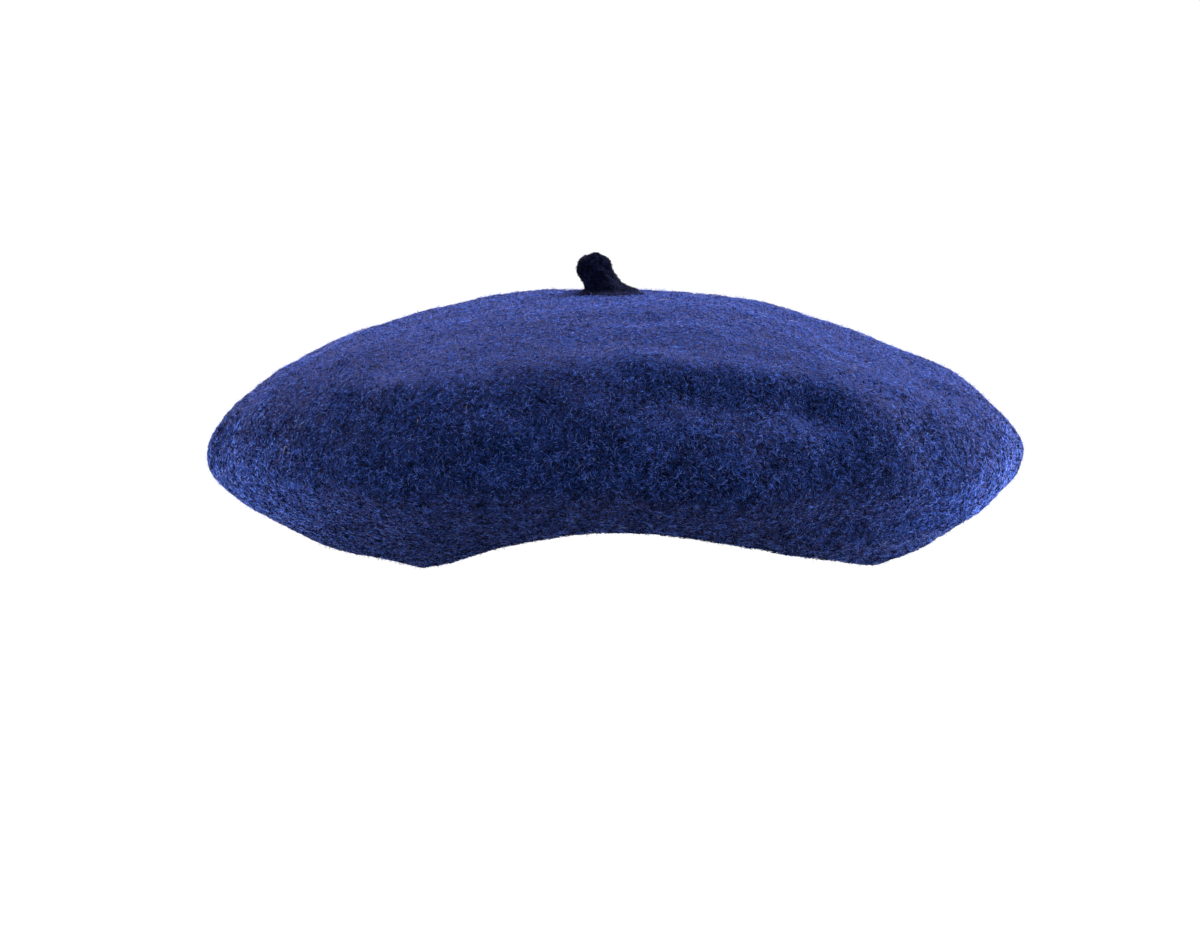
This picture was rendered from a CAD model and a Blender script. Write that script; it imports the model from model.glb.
import math

import bpy
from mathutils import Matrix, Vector
import numpy as np


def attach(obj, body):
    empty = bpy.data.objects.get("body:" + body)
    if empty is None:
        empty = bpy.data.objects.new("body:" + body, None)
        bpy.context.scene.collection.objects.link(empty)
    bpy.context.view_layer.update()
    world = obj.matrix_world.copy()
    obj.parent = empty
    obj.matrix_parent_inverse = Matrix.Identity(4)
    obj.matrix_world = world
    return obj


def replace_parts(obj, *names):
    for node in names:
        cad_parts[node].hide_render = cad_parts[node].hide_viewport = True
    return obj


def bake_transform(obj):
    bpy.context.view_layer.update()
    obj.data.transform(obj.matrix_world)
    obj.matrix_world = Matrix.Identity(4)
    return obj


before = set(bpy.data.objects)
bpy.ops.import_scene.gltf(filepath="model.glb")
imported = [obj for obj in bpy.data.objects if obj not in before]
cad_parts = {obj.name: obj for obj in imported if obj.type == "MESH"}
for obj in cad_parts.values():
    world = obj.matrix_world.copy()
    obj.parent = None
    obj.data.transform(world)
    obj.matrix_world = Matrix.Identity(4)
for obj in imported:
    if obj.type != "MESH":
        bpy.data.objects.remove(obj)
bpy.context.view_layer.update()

mm = 0.001

# The felt's shape, in millimetres: the same outline as the CAD body.
shape = {
    "rimHalf": (81.0, 97.0),  # head opening, outside of the turned-in edge
    "arch": 20.0, "archX": -12.0,  # the rim's rise over brow and nape
    "wideHeight": 40.0, "wideHalf": (140.0, 130.0), "wideX": -12.0,
    "crownHeight": 95.2, "crownX": -14.6,
    "crownPower": (1.65, 2.4),  # how full the top is, side to side and front to back
    "felt": 2.6,
    "columns": 400, "upperRows": 76, "lowerRows": 40,
}

# Folds in the felt: a line over it as (turn in degrees, height in mm), its half width, and how far it
# stands out (or, below zero, sinks in).
folds = [
    {"line": [(-126, 66), (-114, 71), (-102, 74), (-92, 74), (-84, 71)], "width": 10, "lift": 1.3},
    {"line": [(-86, 76), (-76, 73), (-68, 73), (-60, 71), (-52, 66)], "width": 7, "lift": 2.2},
    {"line": [(-84, 67), (-76, 65), (-68, 65), (-60, 63)], "width": 8, "lift": -2.2},
    {"line": [(-78, 56), (-70, 55), (-64, 55)], "width": 20, "lift": -3.0},
    {"line": [(-86, 42), (-80, 37), (-75, 34)], "width": 15, "lift": 3.2},
    {"line": [(-104, 62), (-98, 55), (-95, 48), (-94, 40), (-91, 32)], "width": 8, "lift": -2.2},
    {"line": [(-57, 62), (-59, 49), (-60, 40), (-57, 27)], "width": 12, "lift": -2.0},
    {"line": [(-44, 50), (-45, 40), (-44, 30)], "width": 8, "lift": -1.8},
    {"line": [(-158, 48), (-153, 42), (-148, 32)], "width": 8, "lift": -2.4},
    {"line": [(-137, 58), (-129, 57), (-121, 52)], "width": 8, "lift": -1.4},
    {"line": [(-132, 45), (-123, 33), (-131, 18)], "width": 14, "lift": 2.0},
    {"line": [(-58, 15), (-53, 16), (-48, 17), (-40, 17), (-34, 24)], "width": 5, "lift": 2.4},
    {"line": [(-60, 22), (-50, 23), (-42, 24)], "width": 5, "lift": -1.8},
    {"line": [(-50, 74), (-44, 71), (-40, 67)], "width": 6, "lift": 1.6},
    {"line": [(-61, 82), (-50, 81)], "width": 5, "lift": -1.4},
    {"line": [(-88, 84), (-78, 84), (-67, 83)], "width": 4, "lift": 0.8},
    {"line": [(-159, 88), (-147, 91), (-122, 92), (-98, 92), (-91, 91)], "width": 4, "lift": -0.9},
    {"line": [(-81, 88), (-65, 88), (-50, 87), (-36, 84), (-30, 80)], "width": 4, "lift": -1.1},
    {"line": [(-166, 82), (-152, 79), (-140, 73), (-134, 66)], "width": 6, "lift": 1.8},
    {"line": [(-172, 76), (-164, 70), (-158, 62)], "width": 7, "lift": -2.2},
    {"line": [(-24, 66), (-17, 60), (-15, 54)], "width": 5, "lift": 1.6},
    {"line": [(-14, 66), (-9, 58), (-8, 52)], "width": 5, "lift": -1.8},
    {"line": [(-102, 26), (-91, 29), (-83, 27)], "width": 6, "lift": -1.0},
    {"line": [(-14, 8), (-24, 5), (-36, 6)], "width": 10, "lift": 1.4},
    # the far side, which hangs in calmer, broader folds
    {"line": [(128, 70), (112, 62), (96, 64), (80, 60)], "width": 11, "lift": -3.0},
    {"line": [(60, 74), (48, 60), (44, 44)], "width": 10, "lift": -2.4},
    {"line": [(146, 60), (150, 46), (142, 30)], "width": 10, "lift": 2.2},
    {"line": [(74, 46), (88, 40), (104, 44)], "width": 16, "lift": 3.0},
    {"line": [(20, 70), (8, 58), (6, 46)], "width": 9, "lift": -1.8},
    {"line": [(178, 76), (170, 64), (172, 50)], "width": 9, "lift": -1.8},
]

# Places that are pushed bodily: (turn, height), reach, and the push in mm.
pushes = [
    {"at": (-34, 10), "reach": 26, "push": (0.0, 0.0, 3.2)},
    {"at": (0, 1), "reach": 30, "push": (0.0, 0.0, 2.4)},
    {"at": (-100, 20), "reach": 34, "push": (0.0, 0.0, 2.4)},
    {"at": (-132, 13), "reach": 20, "push": (0.0, 0.0, 1.2)},
    {"at": (-151, 4), "reach": 16, "push": (0.0, 0.0, 0.8)},
    {"at": (-14, 3), "reach": 18, "push": (0.0, 0.0, 0.9)},
    {"at": (-172, 22), "reach": 28, "push": (1.0, 0.0, 3.0)},
    {"at": (-172, 9), "reach": 18, "push": (0.0, 0.0, -2.6)},
    {"at": (-178, 33), "reach": 18, "push": (2.6, 0.0, 2.6)},
    {"at": (-176, 49), "reach": 20, "push": (2.8, 0.0, -2.8)},
    {"at": (180, 0.5), "reach": 34, "push": (0.0, 0.0, 3.0)},
    {"at": (-170, 64), "reach": 20, "push": (0.0, 0.0, 1.8)},
    {"at": (-5, 24), "reach": 38, "push": (-1.0, 0.0, 5.4)},
    {"at": (-5, 50), "reach": 24, "push": (-2.0, 0.0, -2.6)},
    {"at": (-160, 92), "reach": 55, "push": (0.0, 0.0, -1.9)},
    {"at": (-90, 94.5), "reach": 34, "push": (0.0, 0.0, -2.8)},
    {"at": (-20, 78), "reach": 40, "push": (0.0, 0.0, -2.0)},
    {"at": (-12, 66), "reach": 30, "push": (0.0, 0.0, -1.4)},
]

# Gentle unevenness all over: wavelength and height in mm.
swells = [
    {"wave": 70, "height": 0.9, "seed": 4},
    {"wave": 26, "height": 0.40, "seed": 9},
    {"wave": 9, "height": 0.10, "seed": 15},
]


# The rim is a saddle, highest at archX and down on the table at both sides.
def rimHeight(x):
    side = np.where(x < shape["archX"], -shape["rimHalf"][0], shape["rimHalf"][0])
    return shape["arch"] * (1 - ((x - shape["archX"]) / (side - shape["archX"])) ** 2)


def stack(*parts):
    return np.stack(np.broadcast_arrays(*parts), -1)


# The upper felt: tilt goes from 0 at the widest outline to a right angle at the crown.
def upperFelt(turn, tilt):
    rise = np.sin(tilt) ** (2 / shape["crownPower"][0])
    middle = shape["wideX"] + (shape["crownX"] - shape["wideX"]) * rise
    x = middle + shape["wideHalf"][0] * np.cos(turn) * np.cos(tilt)
    y = shape["wideHalf"][1] * np.sin(turn) * np.sqrt(1 - rise ** shape["crownPower"][1])
    return stack(x, y, shape["wideHeight"] + (shape["crownHeight"] - shape["wideHeight"]) * rise)


# The felt under the widest outline: climb goes from 0 at the rim to 1.
def lowerFelt(turn, climb):
    rimX, rimY = shape["rimHalf"][0] * np.cos(turn), shape["rimHalf"][1] * np.sin(turn)
    wideX = shape["wideX"] + shape["wideHalf"][0] * np.cos(turn)
    wideY = shape["wideHalf"][1] * np.sin(turn)
    spread = 1 - (1 - climb) ** 2
    foot = rimHeight(rimX)
    z = foot + (shape["wideHeight"] - foot) * climb
    return stack(rimX + (wideX - rimX) * spread, rimY + (wideY - rimY) * spread, z)


# The place on the felt at a turn and a height, before it is folded and pushed.
def onFelt(turnDegrees, height):
    turn = math.radians(turnDegrees)
    if height >= shape["wideHeight"]:
        rise = (height - shape["wideHeight"]) / (shape["crownHeight"] - shape["wideHeight"])
        return upperFelt(turn, math.asin(min(1.0, rise ** (shape["crownPower"][0] / 2))))
    foot = float(rimHeight(shape["rimHalf"][0] * math.cos(turn)))
    return lowerFelt(turn, max(0.0, (height - foot) / (shape["wideHeight"] - foot)))


def unit(vectors):
    return vectors / np.maximum(np.linalg.norm(vectors, axis=-1, keepdims=True), 1e-12)


# Smooth unevenness, about 1 high, from waves that run every way through the points.
def waves(points, wave, seed):
    source = np.random.default_rng(seed)
    total = np.zeros(points.shape[:-1])
    for _ in range(14):
        direction = unit(source.normal(size=3)) * 2 * math.pi / (wave * source.uniform(0.75, 1.35))
        total += np.sin(points @ direction + source.uniform(0, 2 * math.pi))
    return total / math.sqrt(7)


# How far each point is from a line through the corners.
def lineDistance(points, corners):
    best = np.full(points.shape[:-1], 1e9)
    for start, end in zip(corners[:-1], corners[1:]):
        along = end - start
        share = np.clip(((points - start) @ along) / (along @ along), 0, 1)
        best = np.minimum(best, np.linalg.norm(points - start - share[..., None] * along, axis=-1))
    return best


# Faces between the neighbours of a grid of points, numbered row by row.
def gridFaces(rows, columns, wrapRows=False, wrapColumns=True):
    r, c = np.meshgrid(np.arange(rows if wrapRows else rows - 1),
                       np.arange(columns if wrapColumns else columns - 1), indexing="ij")
    nextRow, nextColumn = (r + 1) % rows, (c + 1) % columns
    corners = (r * columns + c, nextRow * columns + c,
               nextRow * columns + nextColumn, r * columns + nextColumn)
    return np.stack(corners, -1).reshape(-1, 4)


def gridNormals(grid):
    across = np.roll(grid, -1, 1) - np.roll(grid, 1, 1)
    return unit(np.cross(np.gradient(grid, axis=0), across))


# Triangles that close one row of a grid with a single point, seen from outside or, flipped, from inside.
def fan(point, ring, flipped=False):
    pair = (np.roll(ring, -1), ring) if flipped else (ring, np.roll(ring, -1))
    return np.stack([np.full(len(ring), point), *pair], -1)


# Points are in mm, and each list of faces holds faces with the same number of corners.
def newPiece(name, points, faceLists, material, body="beret", slot=None):
    mesh = bpy.data.meshes.new(name)
    points = np.asarray(points, float).reshape(-1, 3) * mm
    mesh.vertices.add(len(points))
    mesh.vertices.foreach_set("co", points.astype(np.float32).ravel())
    faceLists = [np.asarray(faces, np.int32) for faces in faceLists]
    corners = np.concatenate([faces.ravel() for faces in faceLists])
    sizes = np.concatenate([np.full(len(faces), faces.shape[1], np.int32) for faces in faceLists])
    mesh.loops.add(len(corners))
    mesh.loops.foreach_set("vertex_index", corners)
    mesh.polygons.add(len(sizes))
    mesh.polygons.foreach_set("loop_start", np.concatenate([[0], np.cumsum(sizes)[:-1]]).astype(np.int32))
    mesh.polygons.foreach_set("use_smooth", np.ones(len(sizes), bool))
    mesh.update(calc_edges=True)
    mesh.validate()
    mesh.materials.append(material)
    piece = bpy.data.objects.new(name, mesh)
    bpy.context.scene.collection.objects.link(piece)
    if body:
        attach(piece, body)
    return piece


def plainMaterial(name, look):
    material = bpy.data.materials.new(name)
    material.use_nodes = True
    shader = material.node_tree.nodes["Principled BSDF"]
    shader.inputs["Base Color"].default_value = (*look["color"], 1)
    shader.inputs["Roughness"].default_value = look["roughness"]
    shader.inputs["Specular IOR Level"].default_value = look.get("specular", 0.25)
    shader.inputs["Sheen Weight"].default_value = look.get("sheen", 0.0)
    shader.inputs["Sheen Roughness"].default_value = 0.45
    shader.inputs["Sheen Tint"].default_value = (*look.get("sheenTint", (1, 1, 1)), 1)
    return material


# A cloth: one noise mixes its three tones, a broad one makes patches, and another makes its relief.
def clothMaterial(name, look):
    material = plainMaterial(name, {**look, "color": look["tones"][1]})
    nodes, links = material.node_tree.nodes, material.node_tree.links
    shader = nodes["Principled BSDF"]
    place = nodes.new("ShaderNodeTexCoord")
    stretch = nodes.new("ShaderNodeMapping")
    stretch.inputs["Scale"].default_value = look.get("stretch", (1, 1, 1))
    links.new(place.outputs["Object"], stretch.inputs["Vector"])

    def noise(size, detail, distortion=0.0):
        node = nodes.new("ShaderNodeTexNoise")
        node.inputs["Scale"].default_value = 1000 / size
        node.inputs["Detail"].default_value = detail
        node.inputs["Distortion"].default_value = distortion
        links.new(stretch.outputs["Vector"], node.inputs["Vector"])
        return node.outputs["Fac"]

    ramp = nodes.new("ShaderNodeValToRGB")
    for element, tone in zip(ramp.color_ramp.elements, look["tones"][::2]):
        element.color = (*tone, 1)
    ramp.color_ramp.elements[0].position, ramp.color_ramp.elements[1].position = look["spread"]
    middle = ramp.color_ramp.elements.new(sum(look["spread"]) / 2)
    middle.color = (*look["tones"][1], 1)
    links.new(noise(look["grain"], 5, look.get("swirl", 0.0)), ramp.inputs["Fac"])
    patches = nodes.new("ShaderNodeMapRange")
    patches.inputs["From Min"].default_value, patches.inputs["From Max"].default_value = 0.3, 0.7
    patches.inputs["To Min"].default_value, patches.inputs["To Max"].default_value = look["patches"]
    links.new(noise(look["patchSize"], 3), patches.inputs["Value"])
    shade = nodes.new("ShaderNodeVectorMath")
    shade.operation = "SCALE"
    links.new(ramp.outputs["Color"], shade.inputs[0])
    links.new(patches.outputs["Result"], shade.inputs["Scale"])
    links.new(shade.outputs["Vector"], shader.inputs["Base Color"])
    bump = nodes.new("ShaderNodeBump")
    bump.inputs["Strength"].default_value = look["relief"]
    bump.inputs["Distance"].default_value = look["reliefDepth"] * mm
    links.new(noise(look["reliefSize"], 4, look.get("swirl", 0.0)), bump.inputs["Height"])
    links.new(bump.outputs["Normal"], shader.inputs["Normal"])
    return material


# The felt's look. The nap below adds most of what shows.
feltLook = {
    "tones": [(0.0003, 0.0026, 0.012), (0.005, 0.022, 0.110), (0.026, 0.078, 0.38)],
    "spread": (0.40, 0.62), "grain": 0.9, "swirl": 1.6,
    "patches": (0.72, 1.25), "patchSize": 16,
    "relief": 0.9, "reliefDepth": 0.7, "reliefSize": 0.8,
    "roughness": 0.95, "specular": 0.02, "sheen": 0.34, "sheenTint": (0.50, 0.44, 1.0),
}
# The felt's edge rolls under and turns up inside as a hem. Folds die down to the calm share near the rim.
edge = {"roll": 1.97, "leave": -71.0, "hemFoot": 3.4, "hemTop": 13.0, "hemRoll": 1.25,
        "tuck": (9.0, 6.0, 4.0, 3.0), "calm": 0.25, "calmHeight": 9}
grain = {"wave": 4.2, "height": 0.05, "seed": 21}  # fine unevenness of the outer face alone

turns = np.linspace(0, 2 * math.pi, shape["columns"], endpoint=False)
tilts = np.radians(np.linspace(89.0, 0.0, shape["upperRows"], endpoint=False))
climbs = 1 - np.linspace(0, 1, shape["lowerRows"])  # from the widest outline down to the rim
outer = np.concatenate([upperFelt(turns[None, :], tilts[:, None]),
                        lowerFelt(turns[None, :], climbs[:, None])])
outerNormals = gridNormals(outer)

moved = np.zeros(outer.shape[:2])
for fold in folds:
    corners = [onFelt(turn, height) for turn, height in fold["line"]]
    moved += fold["lift"] * np.exp(-(lineDistance(outer, corners) / fold["width"]) ** 2)
for swell in swells:
    moved += swell["height"] * waves(outer, swell["wave"], swell["seed"])
aboveRim = outer[..., 2] - rimHeight(shape["rimHalf"][0] * np.cos(turns))
nearRim = np.clip(aboveRim / edge["calmHeight"], 0, 1)
shift = outerNormals * (moved * (edge["calm"] + (1 - edge["calm"]) * nearRim))[..., None]
for push in pushes:
    reach = np.linalg.norm(outer - onFelt(*push["at"]), axis=-1) / push["reach"]
    shift += np.exp(-reach ** 2)[..., None] * np.array(push["push"])
smooth = outer + shift

rimRow, rimShift = outer[-1], shift[-1]
outward = unit(stack(np.cos(turns) / shape["rimHalf"][0], np.sin(turns) / shape["rimHalf"][1], 0.0))
upward = np.array([0.0, 0.0, 1.0])


# A row of points round the edge, so far out from the rim's line and so far above it.
def edgeRow(out, up, hold=1.0):
    return rimRow + outward * out + upward * up + rimShift * hold


roll = edge["roll"]
leave = math.radians(edge["leave"])
center = (-roll * math.cos(leave), -roll * math.sin(leave))
rows = []
for angle in np.linspace(leave, -math.pi, 9)[1:]:
    rows.append(edgeRow(center[0] + roll * math.cos(angle), center[1] + roll * math.sin(angle)))
# up the hem's inner face, over its top, and down between it and the felt behind
hemShoulder = edge["hemTop"] - edge["hemRoll"]
halfFelt = shape["felt"] / 2
for up in np.linspace(edge["hemFoot"], hemShoulder, 6):
    rows.append(edgeRow(-shape["felt"], up, max(0.2, 1 - up / 12)))
for angle in np.linspace(math.pi, 0, 8)[1:]:
    rows.append(edgeRow(-halfFelt + halfFelt * math.cos(angle),
                        hemShoulder + edge["hemRoll"] * math.sin(angle), 0.2))
for up in edge["tuck"]:
    rows.append(edgeRow(0.0, up, 0.3))
edgeRows = np.array(rows)

# The inner face is every other row of the outer one, moved in by the felt's thickness, up to the crown.
inner = (smooth - outerNormals * shape["felt"])[::-1][3::2]
fine = waves(outer, grain["wave"], grain["seed"]) * grain["height"]
outerFinal = smooth + outerNormals * fine[..., None]
feltGrid = np.concatenate([outerFinal, edgeRows, inner])
feltNormals = gridNormals(feltGrid)
rowCount, columnCount = feltGrid.shape[:2]
ring = np.arange(columnCount)
crown = rowCount * columnCount  # the number of the point that closes the top, before the one under it
crownPoints = [outerFinal[0].mean(0) + (0, 0, 0.02), inner[-1].mean(0)]
feltPoints = np.concatenate([feltGrid.reshape(-1, 3), crownPoints])
feltFaces = [gridFaces(rowCount, columnCount), fan(crown, ring),
             fan(crown + 1, crown - columnCount + ring, True)]
felt = newPiece("felt", feltPoints, feltFaces, clothMaterial("felted wool", feltLook), slot="wool_felt")
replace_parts(felt, "felt_body")
print("felt body done")


# The felt counts as its top where the upward part of its direction passes topFrom, and fully topOver above
# that. The soft clumps are given by wavelength and seed.
napSpread = {"topFrom": 0.45, "topOver": 0.4, "clumps": [(6, 41), (4, 42)]}


# The nap is short fibres that lie every way on the felt. This picks their places on rows first..last, and
# the felt's direction there. They are spread by area, but sparser on top where onTop is below 1, and
# in clumps.
def napSeats(count, first, last, random, onTop=1.0, clump=0.0):
    low, high = feltGrid[first:last - 1], feltGrid[first + 1:last]
    sides = np.roll(low, -1, 1)
    areas = np.linalg.norm(np.cross(high - low, sides - low), axis=-1)
    upwardPart = feltNormals[first:last - 1, :, 2]
    areas *= 1 + (onTop - 1) * np.clip((upwardPart - napSpread["topFrom"]) / napSpread["topOver"], 0, 1)
    areas *= np.exp(clump * sum(waves(low, wave, seed) for wave, seed in napSpread["clumps"]))
    picked = random.choice(areas.size, count, p=(areas / areas.sum()).ravel())
    r, c = np.unravel_index(picked, areas.shape)
    r, nextColumn = r + first, (c + 1) % columnCount
    down, across = random.random((count, 1)), random.random((count, 1))

    def between(grid):
        top = grid[r, c] * (1 - across) + grid[r, nextColumn] * across
        return top * (1 - down) + (grid[r + 1, c] * (1 - across) + grid[r + 1, nextColumn] * across) * down

    return between(feltGrid), unit(between(feltNormals))


# Each fibre is a thin spindle, bent at its middle: five points and six faces.
def fibres(name, look, seats, normals, random, slot, body="beret"):
    count = len(seats)
    flat = unit(np.cross(normals, random.normal(size=(count, 3))))
    stand = random.uniform(*look["stand"], (count, 1))
    direction = unit(flat + normals * stand)
    length = random.uniform(*look["length"], (count, 1))
    depth = random.uniform(*look["depth"], (count, 1))
    start = seats + normals * depth - direction * length * look["centered"]
    end = start + direction * length
    side = unit(np.cross(direction, normals))
    bend = side * random.normal(size=(count, 1)) + normals * random.uniform(0.0, 1.0, (count, 1))
    middle = (start + end) / 2 + bend * length * look["bend"]
    thin = unit(np.cross(direction, side))
    radius = random.uniform(*look["radius"], (count, 1))
    corners = [start]
    for angle in (0.5, 0.5 + 2 * math.pi / 3, 0.5 + 4 * math.pi / 3):
        corners.append(middle + radius * (math.cos(angle) * side + math.sin(angle) * thin))
    points = np.stack([*corners, end], 1)
    pattern = np.array([(0, 2, 1), (0, 3, 2), (0, 1, 3), (4, 1, 2), (4, 2, 3), (4, 3, 1)])
    faces = (np.arange(count)[:, None, None] * 5 + pattern).reshape(-1, 3)
    return newPiece(name, points, [faces], plainMaterial(name, look), body, slot)


# The nap outside runs round the rolled edge and part way up the hem. The nap inside starts behind the
# hem's top.
outerRows = len(outerFinal) + 12
insideRow = len(outerFinal) + 20
lying = {"stand": (-0.05, 0.30), "length": (0.9, 2.8), "depth": (-0.05, 0.22), "centered": 0.5,
         "bend": 0.10, "radius": (0.06, 0.14), "roughness": 0.8, "specular": 0.03, "sheen": 0.32,
         "sheenTint": (0.50, 0.44, 1.0)}
napLooks = {
    "nap_shadow": {"count": 33000, "color": (0.0006, 0.0040, 0.018), "sheen": 0.0, "radius": (0.08, 0.17),
                   "onTop": 0.03, "clump": -0.25},
    "nap_black": {"count": 33000, "color": (0.0007, 0.0045, 0.020), "sheen": 0.0, "radius": (0.08, 0.16),
                  "onTop": 0.06, "clump": -0.1},
    "nap_deep": {"count": 32000, "color": (0.0040, 0.020, 0.11), "onTop": 0.5},
    "nap_navy": {"count": 32000, "color": (0.008, 0.040, 0.20)},
    "nap_blue": {"count": 32000, "color": (0.019, 0.085, 0.43), "clump": 0.1},
    "nap_mid": {"count": 32000, "color": (0.046, 0.148, 0.72), "radius": (0.06, 0.12),
                "onTop": 0.6, "clump": 0.2},
    "nap_pale": {"count": 30000, "color": (0.16, 0.31, 1.0), "radius": (0.07, 0.13),
                 "onTop": 0.2, "clump": 0.35},
}
for number, (name, look) in enumerate(napLooks.items()):
    random = np.random.default_rng(100 + number)
    seats, normals = napSeats(look["count"], 0, outerRows, random,
                              look.get("onTop", 1.0), look.get("clump", 0.0))
    fibres(name, {**lying, **look}, seats, normals, random, "wool_felt")

# Finer hairs that stand up, the nap inside, and a little pale lint: which rows of the felt each grows on.
finerLooks = {
    "nap_fuzz": {"count": 30000, "rows": (0, outerRows), "color": (0.26, 0.30, 0.86), "length": (0.6, 2.0),
                 "stand": (0.4, 2.5), "depth": (-0.1, 0.1), "centered": 0.0, "bend": 0.16,
                 "radius": (0.03, 0.06)},
    "nap_inside": {"count": 26000, "rows": (insideRow, rowCount), "color": (0.012, 0.028, 0.16),
                   "depth": (-0.05, 0.12)},
    "lint": {"count": 130, "rows": (0, outerRows), "color": (0.62, 0.64, 0.72), "length": (1.5, 6.0),
             "depth": (0.15, 0.4), "bend": 0.16, "radius": (0.03, 0.06)},
}
for number, (name, look) in enumerate(finerLooks.items()):
    random = np.random.default_rng(200 + number)
    seats, normals = napSeats(look["count"], *look["rows"], random)
    fibres(name, {**lying, **look}, seats, normals, random, "wool_felt")
print("nap done")


# The stem: a stubby felt club that leans over and flares into the crown.
stemShape = {
    # level, middle, half width and half depth, from the root in the crown's felt up to the top
    "levels": [(93.6, -13.2, 13.0, 11.5), (94.7, -13.4, 9.6, 9.0), (95.6, -14.0, 8.1, 7.8),
               (96.6, -15.2, 7.2, 7.1), (98.4, -17.0, 6.5, 6.5), (100.4, -18.5, 6.15, 6.2),
               (102.4, -19.2, 5.9, 6.0), (104.2, -19.2, 5.35, 5.5), (105.6, -19.05, 4.5, 4.6),
               (106.6, -18.95, 3.3, 3.3), (107.15, -18.9, 1.9, 1.9), (107.35, -18.9, 0.7, 0.7)],
    "lumps": [(0.22, 5.5, 31), (0.10, 2.2, 32)],  # height, wavelength and seed
    "columns": 64, "rows": 56,
    "bendFrom": (-0.0170, 0.0, 0.0950), "bendTo": (-0.0170, 0.0, 0.1035),
}
stemLook = {**feltLook, "tones": [(0.0004, 0.0012, 0.004), (0.0012, 0.0034, 0.012), (0.008, 0.013, 0.060)],
            "sheen": 0.08, "patches": (0.8, 1.15)}
levels = np.array(stemShape["levels"])
steps = np.linspace(0, len(levels) - 1, stemShape["rows"])
stemTurns = np.linspace(0, 2 * math.pi, stemShape["columns"], endpoint=False)


# A smooth line through the listed levels.
def through(values, steps):
    low = np.clip(np.floor(steps).astype(int), 0, len(values) - 2)
    part = (steps - low)[:, None]
    ends = np.concatenate([[2 * values[0] - values[1]], values, [2 * values[-1] - values[-2]]])
    a, b, c, d = ends[low], ends[low + 1], ends[low + 2], ends[low + 3]
    return 0.5 * (2 * b + (c - a) * part + (2 * a - 5 * b + 4 * c - d) * part ** 2
                  + (3 * b - a - 3 * c + d) * part ** 3)


profile = through(levels, steps)[::-1]
stemGrid = stack(profile[:, 1:2] + profile[:, 2:3] * np.cos(stemTurns),
                 profile[:, 3:4] * np.sin(stemTurns), profile[:, 0:1])
stemNormals = gridNormals(stemGrid)
lumps = sum(height * waves(stemGrid, wave, seed) for height, wave, seed in stemShape["lumps"])
stemGrid = stemGrid + stemNormals * lumps[..., None]
stemRows, stemColumns = stemGrid.shape[:2]
ring = np.arange(stemColumns)
tip = stemRows * stemColumns  # the number of the point that closes the stem's top
stemFaces = [gridFaces(stemRows, stemColumns), fan(tip, ring), fan(tip + 1, tip - stemColumns + ring, True)]
stemPoints = np.concatenate([stemGrid.reshape(-1, 3), [stemGrid[0].mean(0), stemGrid[-1].mean(0)]])
stem = newPiece("stem_felt", stemPoints, stemFaces, clothMaterial("stem felt", stemLook), None, "stem_felt")
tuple(stemShape["bendFrom"])
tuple(stemShape["bendTo"])
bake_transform(stem)
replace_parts(stem, "stem")

random = np.random.default_rng(300)
stemLying = {**lying, "stand": (0.0, 0.9), "length": (0.6, 1.8)}
stemNapLooks = {
    "stem_nap_dark": {"count": 1500, "color": (0.0006, 0.0018, 0.007), "sheen": 0.05},
    "stem_nap_blue": {"count": 700, "color": (0.008, 0.014, 0.070), "sheen": 0.15},
}
for name, look in stemNapLooks.items():
    r = random.integers(0, stemRows - 6, look["count"])
    c = random.integers(0, stemColumns, look["count"])
    hair = fibres(name, {**stemLying, **look}, stemGrid[r, c], stemNormals[r, c], random, "stem_felt", None)
    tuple(stemShape["bendFrom"])
    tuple(stemShape["bendTo"])
    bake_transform(hair)
print("stem done")


# A closed band that follows the rim: outer oval, thickness, lift above the rim and height.
# relief(turn, share) is added to each face in mm, and waver(turn) moves its top edge.
def saddleBand(half, thickness, lift, height, columns, rows, relief, waver, spanTurns=None):
    wrap = spanTurns is None
    turn = np.linspace(*((0, 2 * math.pi) if wrap else spanTurns), columns, endpoint=not wrap)
    share = np.linspace(0, 1, rows)
    ends = 0.5 * (1 - (2 * np.abs(share - 0.5)) ** 10)
    faces = []
    for facing in (1, -1):  # the outer face going up, then the inner one coming down
        order = share[::facing]
        thin = ends[::facing, None] * thickness
        bumps = relief(turn[None, :], order[:, None]) * facing * np.minimum(1, thin * 2 / thickness)
        x, y = ((side - thickness / 2 + facing * thin + bumps) * way(turn)
                for side, way in zip(half, (np.cos, np.sin)))
        z = rimHeight(half[0] * np.cos(turn)) + lift + order[:, None] * (height + waver(turn))
        faces.append(stack(x, y, z))
    grid = np.concatenate(faces)
    count = len(grid)
    quads = [gridFaces(count, columns, wrapRows=True, wrapColumns=wrap)[:, ::-1]]
    if not wrap:
        quads.append([np.arange(count) * columns, (np.arange(count) * columns + columns - 1)[::-1]])
    return grid, quads


sweatband = {
    "half": (78.3, 94.3), "inside": (77.4, 93.4), "thickness": 0.8, "lift": 1.6, "height": 24.6,
    "cut": 547,  # the ribbon's length
    "ribs": 545, "ribHeight": 0.10, "puckers": 84, "puckerHeight": 0.16,
    # its ends lap at the nape, between these two places from side to side
    "lapHalf": (77.42, 93.42), "lapLift": 1.7, "lapHeight": 24.3, "lapFrom": 39.0, "lapTo": 25.0,
}
ribbonLook = {
    "tones": [(0.004, 0.006, 0.016), (0.010, 0.014, 0.040), (0.022, 0.028, 0.075)],
    "spread": (0.3, 0.7), "grain": 0.6, "patches": (0.85, 1.1), "patchSize": 12, "stretch": (1, 1, 0.25),
    "relief": 0.5, "reliefDepth": 0.2, "reliefSize": 0.5,
    "roughness": 0.62, "specular": 0.35, "sheen": 0.12,
}


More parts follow.
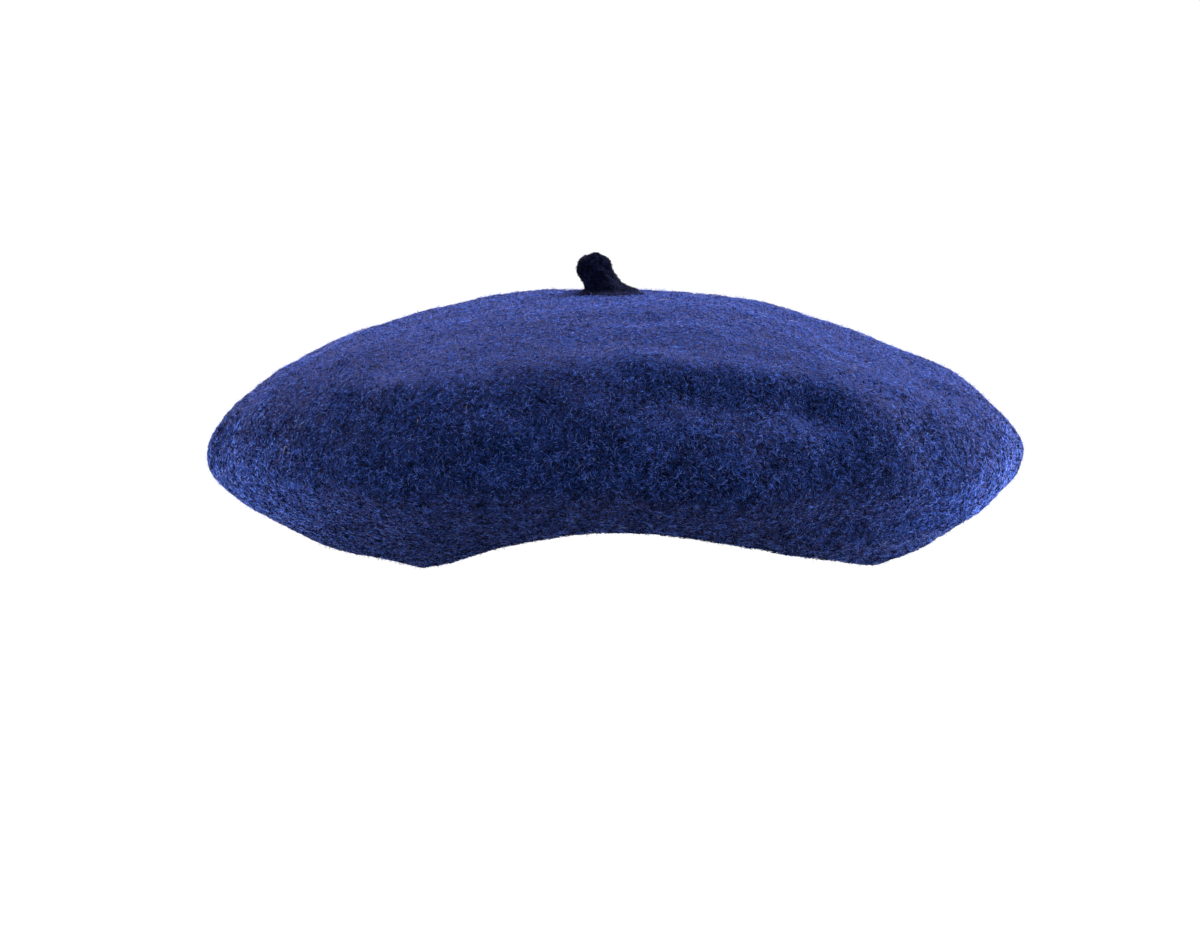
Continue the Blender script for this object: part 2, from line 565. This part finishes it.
# The ribbon's ribs, and the puckers that its stitching draws up along its lower edge.
def ribs(turn, share):
    puckers = sweatband["puckerHeight"] * np.sin(turn * sweatband["puckers"])
    return (sweatband["ribHeight"] * np.cos(turn * sweatband["ribs"])
            + puckers * np.exp(-((share - 0.12) / 0.08) ** 2))


# The ribbon's top edge waves a little.
def ribbonEdge(turn):
    return 0.35 * np.sin(turn * 9 + 1.0) + 0.25 * np.sin(turn * 23 + 2.0)


ribbonMaterial = clothMaterial("ribbon", ribbonLook)
band, bandFaces = saddleBand(sweatband["half"], sweatband["thickness"], sweatband["lift"],
                             sweatband["height"], sweatband["ribs"] * 4, 10, ribs, ribbonEdge)
ribbon = newPiece("sweatband_ribbon", band, bandFaces, ribbonMaterial, slot="ribbon")
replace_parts(ribbon, "sweatband")
lapTurns = [math.acos(x / sweatband["inside"][0]) for x in (sweatband["lapFrom"], sweatband["lapTo"])]
lap, lapFaces = saddleBand(sweatband["lapHalf"], sweatband["thickness"], sweatband["lapLift"],
                           sweatband["lapHeight"], 60, 10, ribs, ribbonEdge, lapTurns)
lapPiece = newPiece("sweatband_lap", lap, lapFaces, ribbonMaterial, slot="ribbon")
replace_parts(lapPiece, "sweatband")

elastic = {"half": (82.05, 98.05), "thickness": 0.9, "lift": 5.1, "height": 4.8,
           "cords": 5, "cordHeight": 0.10, "waists": 240}
elasticLook = {
    "tones": [(0.006, 0.007, 0.012), (0.012, 0.013, 0.022), (0.024, 0.026, 0.04)],
    "spread": (0.3, 0.7), "grain": 0.5, "patches": (0.9, 1.1), "patchSize": 8,
    "relief": 0.5, "reliefDepth": 0.15, "reliefSize": 0.4, "roughness": 0.7,
}


# The elastic's cords run along it, and are flatter at each waist of its weave.
def elasticCords(turn, share):
    cords = elastic["cordHeight"] * np.cos(share * 2 * math.pi * elastic["cords"])
    return cords * (0.6 + 0.4 * np.cos(turn * elastic["waists"]))


elasticBand, elasticFaces = saddleBand(elastic["half"], elastic["thickness"], elastic["lift"],
                                       elastic["height"], 960, 16, elasticCords, lambda turn: 0 * turn)
elasticPiece = newPiece("elastic_band", elasticBand, elasticFaces, clothMaterial("elastic", elasticLook),
                        slot="elastic")
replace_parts(elasticPiece, "hem_elastic")
print("bands done")


# Every stitch is a short two-ply thread, arched over the cloth with its ends pulled into it.
thread = {"radius": 0.27, "length": 3.4, "sides": 8, "rings": 9,
          "twist": 2.4, "ply": 0.24, "arch": 0.30, "ends": 0.35}
threadLook = {
    "tones": [(0.010, 0.016, 0.050), (0.022, 0.034, 0.10), (0.05, 0.07, 0.18)],
    "spread": (0.3, 0.7), "grain": 0.35, "patches": (0.9, 1.1), "patchSize": 4,
    "relief": 0.4, "reliefDepth": 0.08, "reliefSize": 0.2, "roughness": 0.5, "specular": 0.4,
}
threadMaterial = clothMaterial("thread", threadLook)


def stitches(name, starts, ends, aways, node, material=threadMaterial, slot="thread"):
    starts, ends, aways = (np.asarray(part, float) for part in (starts, ends, aways))
    share = np.linspace(0, 1, thread["rings"])
    angles = np.linspace(0, 2 * math.pi, thread["sides"], endpoint=False)
    side = unit(np.cross(unit(ends - starts), aways))
    arch = thread["arch"] * (1 - (2 * share - 1) ** 4) - thread["arch"]
    line = starts[:, None] + (ends - starts)[:, None] * share[:, None] + aways[:, None] * arch[:, None]
    twisted = angles[None, :] - share[:, None] * 2 * math.pi * thread["twist"]
    plies = 1 + thread["ply"] * np.cos(2 * twisted)
    taper = np.where((share == 0) | (share == 1), thread["ends"], 1.0)
    radius = thread["radius"] * plies * taper[:, None]
    points = (line[:, :, None] + side[:, None, None] * (radius * np.cos(angles))[None, :, :, None]
              + aways[:, None, None] * (radius * np.sin(angles))[None, :, :, None])
    sides = thread["sides"]
    each = thread["rings"] * sides
    caps = np.array([np.arange(sides), each - 1 - np.arange(sides)])
    offsets = (np.arange(len(starts)) * each)[:, None, None]
    faces = [(offsets + gridFaces(thread["rings"], sides)).reshape(-1, 4),
             (offsets + caps).reshape(-1, sides)]
    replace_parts(newPiece(name, points, faces, material, slot=slot), node)


# Starts, ends and away directions of threads along an oval, as many as fill it evenly.
def ovalStitches(half, count, lift, slant, inward, keep=lambda x, y: True):
    fineTurns = np.linspace(0, 2 * math.pi, 7201)
    oval = np.stack([half[0] * np.cos(fineTurns), half[1] * np.sin(fineTurns)], -1)
    walked = np.concatenate([[0], np.cumsum(np.linalg.norm(np.diff(oval, axis=0), axis=-1))])
    starts, ends, aways = [], [], []
    for number in range(count):
        spot = walked[-1] * number / count
        lean = slant / 2 if number % 2 else -slant / 2
        pair = []
        for place, change in ((spot - thread["length"] / 2, -lean), (spot + thread["length"] / 2, lean)):
            turn = float(np.interp(place % walked[-1], walked, fineTurns))
            x, y = half[0] * math.cos(turn), half[1] * math.sin(turn)
            pair.append((x, y, float(rimHeight(x)) + lift + change))
        x, y = (pair[0][0] + pair[1][0]) / 2, (pair[0][1] + pair[1][1]) / 2
        if keep(x, y):
            away = unit(np.array([x / half[0] ** 2, y / half[1] ** 2, 0.0])) * (-1 if inward else 1)
            starts.append(pair[0])
            ends.append(pair[1])
            aways.append(away)
    return starts, ends, aways


sweatbandSewing = {"half": (77.05, 93.05), "count": 84, "lift": 4.5, "slant": 0.0, "inward": True}
elasticSewing = {"half": (82.5, 98.5), "count": 96, "lift": 7.5, "slant": 3.5, "inward": False}
lapSewing = {"x": 32, "width": 14, "gap": 10.4, "half": (76.15, 92.15),
             "lift": 3.5, "apart": 5.5, "count": 4}


# The row along the sweatband stops on both sides of the lap, which has two rows of its own going up it.
def offLap(x, y):
    return not (y > 0 and abs(x - lapSewing["x"]) < lapSewing["gap"])


stitches("sweatband_stitches", *ovalStitches(**sweatbandSewing, keep=offLap), "sweatband_stitching")
stitches("elastic_zigzag", *ovalStitches(**elasticSewing), "elastic_stitching")
starts, ends, aways = [], [], []
acrossLap, alongLap = lapSewing["half"]
for side in (-1, 1):
    rowX = lapSewing["x"] + side * lapSewing["width"] / 3
    rowY = alongLap * math.sqrt(1 - (rowX / acrossLap) ** 2)
    for number in range(lapSewing["count"]):
        low = float(rimHeight(rowX)) + lapSewing["lift"] + number * lapSewing["apart"]
        starts.append((rowX, rowY, low))
        ends.append((rowX, rowY, low + thread["length"]))
        aways.append(unit(np.array([-rowX / acrossLap ** 2, -rowY / alongLap ** 2, 0.0])))
stitches("lap_stitches", starts, ends, aways, "lap_stitching")

# The tack under the stem: a cross of two long stitches, wound at its middle.
tack = {"x": -17.0, "reach": 7.0, "levels": (92.0, 91.75), "winds": 5, "windReach": 1.3, "windTop": 91.1}
across, along = tack["levels"]
starts = [(tack["x"] - tack["reach"], 0, across), (tack["x"], -tack["reach"], along)]
ends = [(tack["x"] + tack["reach"], 0, across), (tack["x"], tack["reach"], along)]
for number in range(tack["winds"]):
    angle = math.radians(20 + number * 36)
    level = tack["windTop"] - 0.12 * number
    x, y = tack["windReach"] * math.cos(angle), tack["windReach"] * math.sin(angle)
    starts.append((tack["x"] - x, -y, level))
    ends.append((tack["x"] + x, y, level))
stitches("stem_tack_thread", starts, ends, [(0, 0, -1.0)] * len(starts), "stem_tack")
print("stitches done")


# The labels are woven and blank, and hang from their sewn edges.
labelLook = {
    "tones": [(0.42, 0.42, 0.42), (0.55, 0.55, 0.54), (0.66, 0.66, 0.64)],
    "spread": (0.3, 0.7), "grain": 0.35, "patches": (0.94, 1.03), "patchSize": 5,
    "relief": 0.35, "reliefDepth": 0.08, "reliefSize": 0.25, "roughness": 0.6, "specular": 0.3,
}
labelMaterial = clothMaterial("woven label", labelLook)
# overlap is how far a label reaches above the line it bends on, behind how far the ribbon's face lies
# behind its middle plane there, and settle the share of its drop over which it still lies on the ribbon
labelCloth = {"overlap": 1.9, "thickness": 0.34, "behind": 1.55, "settle": 0.45, "stitchLift": 24.0}
labels = {  # origin is the middle of the line it bends on
    "care_label": {"turn": 90.0, "size": (26.0, 16.0), "origin": (0.0, 91.4326, 42.667),
                   "edge": (1.0, 0.0, 0.0), "inward": (0.0, -1.0, 0.0),
                   "curl": 0.9, "layers": 1, "stitches": 5},
    "size_tab": {"turn": 108.0, "size": (12.0, 10.0), "origin": (-23.5846, 87.9785, 42.4033),
                 "edge": (0.930995, 0.365031, 0.0), "inward": (0.365031, -0.930995, 0.0),
                 "curl": 0.3, "layers": 2, "stitches": 2},
}
threadPale = clothMaterial("label thread", {**threadLook, "tones": labelLook["tones"]})
ribbonSide, ribbonFront = sweatband["inside"]
sewnSide, sewnFront = sweatbandSewing["half"]
for body, label in labels.items():
    width, drop = label["size"]
    overlap = labelCloth["overlap"]
    origin, edgeWay, inward = (np.array(label[part]) for part in ("origin", "edge", "inward"))
    across = np.linspace(-width / 2, width / 2, int(width * 4))
    down = np.linspace(overlap, -drop, int(drop * 4))
    flatPlaces = origin + across[None, :, None] * edgeWay + down[:, None, None] * upward
    # the ribbon curves towards the label on both sides of its middle
    curved = (across / width * 2) ** 2 * -(width / 2) ** 2 * ribbonFront / (2 * ribbonSide ** 2)
    behind = curved + labelCloth["behind"]
    settle = np.exp(-((overlap - down) / (drop * labelCloth["settle"])) ** 2)[:, None]
    curl = label["curl"] * np.cos(across / width * 3.0 + 0.4)
    lean = -settle * (behind - 0.25)[None, :] + (1 - settle) * curl[None, :]
    weave = 0.03 * np.sin(across * 12)[None, :] * np.sin(down * 12)[:, None]
    thickness = labelCloth["thickness"] * label["layers"]
    facing = flatPlaces + (lean + weave + thickness / 2)[..., None] * inward
    backing = flatPlaces + (lean + weave - thickness / 2)[..., None] * inward
    rowsHere, columnsHere = facing.shape[:2]
    sheet = np.concatenate([facing, backing])
    behindIt = rowsHere * columnsHere  # from a point of the front to the one behind it
    front = gridFaces(rowsHere, columnsHere, wrapColumns=False)
    back = front[:, ::-1] + behindIt
    border = np.concatenate([np.arange(columnsHere), np.arange(1, rowsHere) * columnsHere + columnsHere - 1,
                             (rowsHere - 1) * columnsHere + np.arange(columnsHere - 2, -1, -1),
                             np.arange(rowsHere - 2, 0, -1) * columnsHere])
    nextBorder = np.roll(border, -1)
    rimQuads = np.stack([border, nextBorder, nextBorder + behindIt, border + behindIt], -1)
    cloth = newPiece(body + "_cloth", sheet, [front, back, rimQuads], labelMaterial, None, "label")
    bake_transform(cloth)
    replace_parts(cloth, body)
    count = label["stitches"]
    starts, ends = [], []
    for number in range(count):
        middle = (number - (count - 1) / 2) * width / count
        pair = []
        for step in (-thread["length"] / 2, thread["length"] / 2):
            turn = math.radians(label["turn"]) + (middle + step) / ribbonSide
            x, y = sewnSide * math.cos(turn), sewnFront * math.sin(turn)
            pair.append((x, y, float(rimHeight(x)) + labelCloth["stitchLift"]))
        starts.append(np.array(pair[0]) + inward * thickness)
        ends.append(np.array(pair[1]) + inward * thickness)
    stitches(body + "_cloth_stitches", starts, ends, [inward] * count, body + "_stitching", threadPale,
             "label_thread")
print("labels done")


# The studio: a white table that glows softly, white surroundings, one large lamp above, one behind, and
# two small ones lying just over the table at the beret's sides.
studio = {
    "surroundings": 0.58, "seenWhite": 1.05, "tableSize": 14.0, "tableLevel": -0.0015,
    "tableGlow": 0.30, "tableSides": 2.0, "sidesFrom": 0.15, "sidesTo": 0.26,
    "lights": {
        "top": {"at": (0.56, 0.46, 0.94), "toward": (0, 0, 0.045), "size": 0.55, "power": 23.0},
        "behind": {"at": (0.8, 1.1, 0.5), "toward": (0, 0, 0.045), "size": 0.9, "power": 9.0},
        "lowRight": {"at": (0.145, -0.08, 0.001), "toward": (0.13, -0.07, 0.2), "size": 0.08,
                     "power": 0.18},
        "lowLeft": {"at": (-0.175, -0.08, 0.001), "toward": (-0.16, -0.07, 0.2), "size": 0.08,
                    "power": 0.105},
    },
}


# White where the camera sees it, dimmer as a source of light.
def softWhite(nodes, links, dim):
    seen = nodes.new("ShaderNodeLightPath")
    strength = nodes.new("ShaderNodeMapRange")
    strength.inputs["To Min"].default_value = dim
    strength.inputs["To Max"].default_value = studio["seenWhite"]
    links.new(seen.outputs["Is Camera Ray"], strength.inputs["Value"])
    return strength.outputs["Result"]


world = bpy.data.worlds.new("white room")
bpy.context.scene.world = world
world.use_nodes = True
background = world.node_tree.nodes["Background"]
background.inputs["Color"].default_value = (1, 1, 1, 1)
nodes, links = world.node_tree.nodes, world.node_tree.links
links.new(softWhite(nodes, links, studio["surroundings"]), background.inputs["Strength"])

bpy.ops.mesh.primitive_plane_add(size=studio["tableSize"], location=(0, 0, studio["tableLevel"]))
table = bpy.context.object
table.name = "table"
white = bpy.data.materials.new("table white")
white.use_nodes = True
nodes, links = white.node_tree.nodes, white.node_tree.links
glow = nodes.new("ShaderNodeEmission")
glow.inputs["Color"].default_value = (1, 1, 1, 1)
# the table glows more on both sides of the beret, and lights its lower slopes
where, apart, away, sides = (nodes.new("ShaderNode" + kind)
                             for kind in ("TexCoord", "SeparateXYZ", "Math", "MapRange"))
links.new(where.outputs["Object"], apart.inputs["Vector"])
away.operation = "ABSOLUTE"
links.new(apart.outputs["X"], away.inputs[0])
links.new(away.outputs["Value"], sides.inputs["Value"])
for socket, key in (("From Min", "sidesFrom"), ("From Max", "sidesTo"),
                    ("To Min", "tableGlow"), ("To Max", "tableSides")):
    sides.inputs[socket].default_value = studio[key]
tableStrength = softWhite(nodes, links, 1.0)
links.new(sides.outputs["Result"], tableStrength.node.inputs["To Min"])
links.new(tableStrength, glow.inputs["Strength"])
links.new(glow.outputs["Emission"], nodes["Material Output"].inputs["Surface"])
table.data.materials.append(white)

for name, lamp in studio["lights"].items():
    light = bpy.data.lights.new(name, "AREA")
    light.energy, light.size = lamp["power"], lamp["size"]
    holder = bpy.data.objects.new(name, light)
    holder.location = lamp["at"]
    aimed = Vector(lamp["toward"]) - holder.location
    holder.rotation_euler = aimed.to_track_quat("-Z", "Y").to_euler()
    holder.visible_camera = False
    bpy.context.scene.collection.objects.link(holder)

camera = {"aim": (-0.0172, 0.0, 0.0333), "distance": 1.03, "down": 5.0, "lens": 89.95}
lens = bpy.data.cameras.new("camera")
lens.lens, lens.sensor_width, lens.clip_end = camera["lens"], 36, 50
eye = bpy.data.objects.new("camera", lens)
down = math.radians(camera["down"])
eye.location = (camera["aim"][0], camera["aim"][1] - camera["distance"] * math.cos(down),
                camera["aim"][2] + camera["distance"] * math.sin(down))
eye.rotation_euler = (math.radians(90) - down, 0, 0)
bpy.context.scene.collection.objects.link(eye)
bpy.context.scene.camera = eye
bpy.context.scene.view_settings.view_transform = "Standard"
print("studio done")
